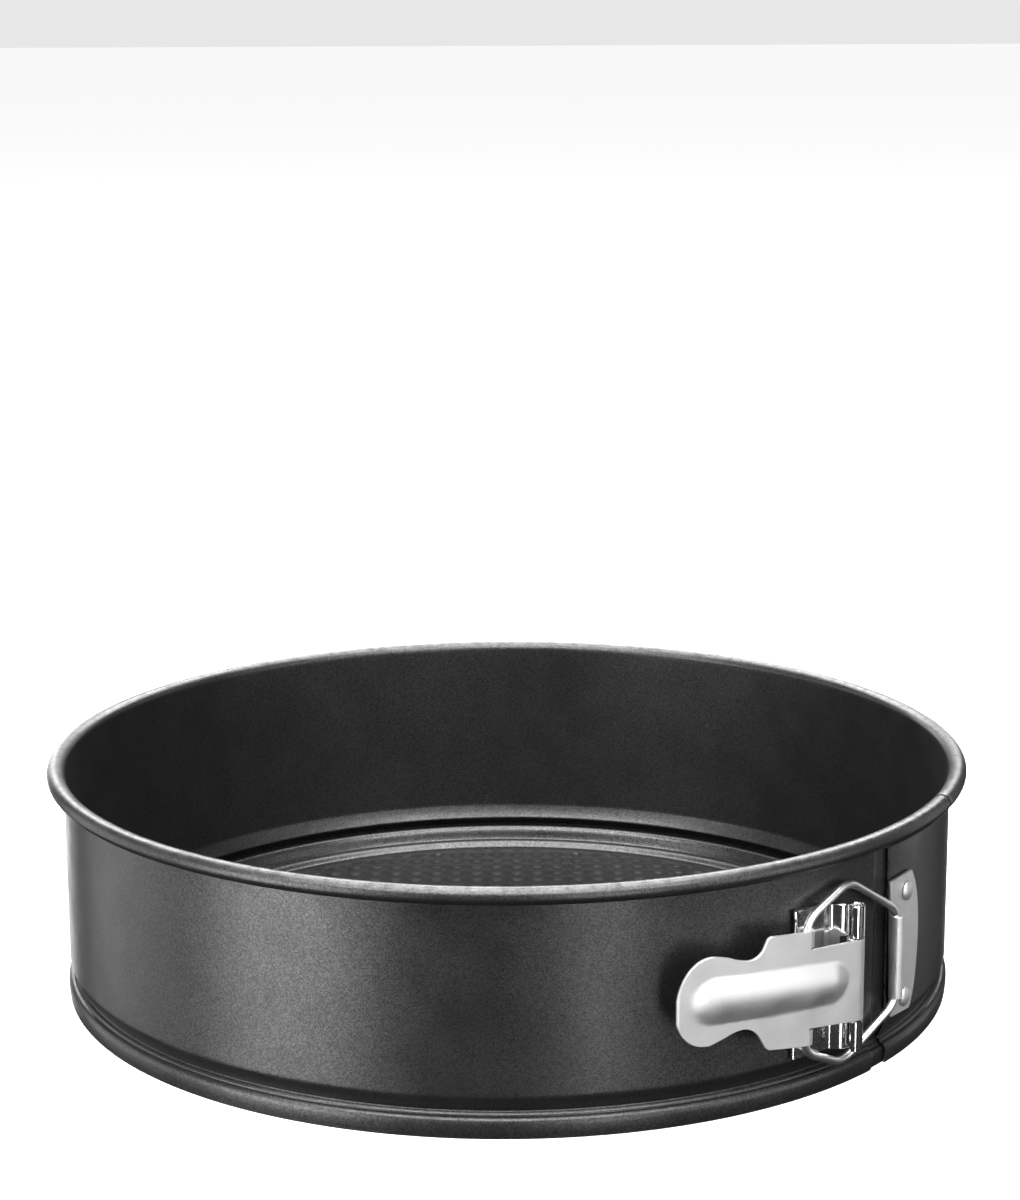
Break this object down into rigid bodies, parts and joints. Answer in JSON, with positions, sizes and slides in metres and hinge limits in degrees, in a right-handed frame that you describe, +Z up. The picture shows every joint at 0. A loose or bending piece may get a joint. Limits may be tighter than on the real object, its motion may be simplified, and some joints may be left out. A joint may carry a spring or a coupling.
{
  "type": "springform pan",
  "caption": "Round springform baking pan: loose ridged base, side band with rolled rim and skirt, and an over-centre latch with lever, wire bail and catch plate.",
  "frame": {"origin": "pan axis, on the flat underside of the base", "axes": "+Z up along the pan axis, -Y towards the front, the latch at the front right, 35 to 59 degrees from -Y towards +X"},
  "size_m": [0.2706, 0.2706, 0.0687],
  "materials": {
    "coating": "satin charcoal non-stick coating with a fine metallic speckle",
    "base_coating": "satin dark non-stick coating, embossed floor",
    "satin_steel": "satin nickel-plated steel",
    "chrome": "bright chrome"
  },
  "bodies": {
    "base": {"base_plate": "base_coating"},
    "band_latch_side": {"side_band_latch_half": "coating", "hinge_bracket": "chrome", "hinge_pin": "chrome", "bracket_rivet_lower": "satin_steel", "bracket_rivet_upper": "satin_steel"},
    "band_catch_side": {"side_band_catch_half": "coating", "catch_plate": "satin_steel", "catch_rivet_lower": "satin_steel", "catch_rivet_upper": "satin_steel"},
    "lever": {"latch_lever": "satin_steel"},
    "bail": {"bail_wire": "satin_steel"}
  },
  "joints": [
    {"name": "band_lift", "type": "slide", "parent": "base", "child": "band_latch_side", "axis": [0, 0, 1], "range_m": [0, 0.08]},
    {"name": "lever_swing", "type": "hinge", "parent": "band_latch_side", "child": "lever", "pos_m": [0.09208, -0.1005, 0], "axis": [0, 0, 1], "range_deg": [0, 90]},
    {"name": "band_opening", "type": "hinge", "parent": "band_latch_side", "child": "band_catch_side", "pos_m": [-0.10746, 0.08335, 0], "axis": [0, 0, 1], "range_deg": [0, 1.68]},
    {"name": "bail_turn", "type": "hinge", "parent": "band_catch_side", "child": "bail", "pos_m": [0.10572, -0.08136, 0], "axis": [0, 0, 1], "range_deg": [0, 30.78]}
  ],
  "couplings": [
    {"joint": "band_opening", "follows": "lever_swing", "ratio": 0.018443},
    {"joint": "bail_turn", "follows": "lever_swing", "ratio": 0.34143}
  ]
}
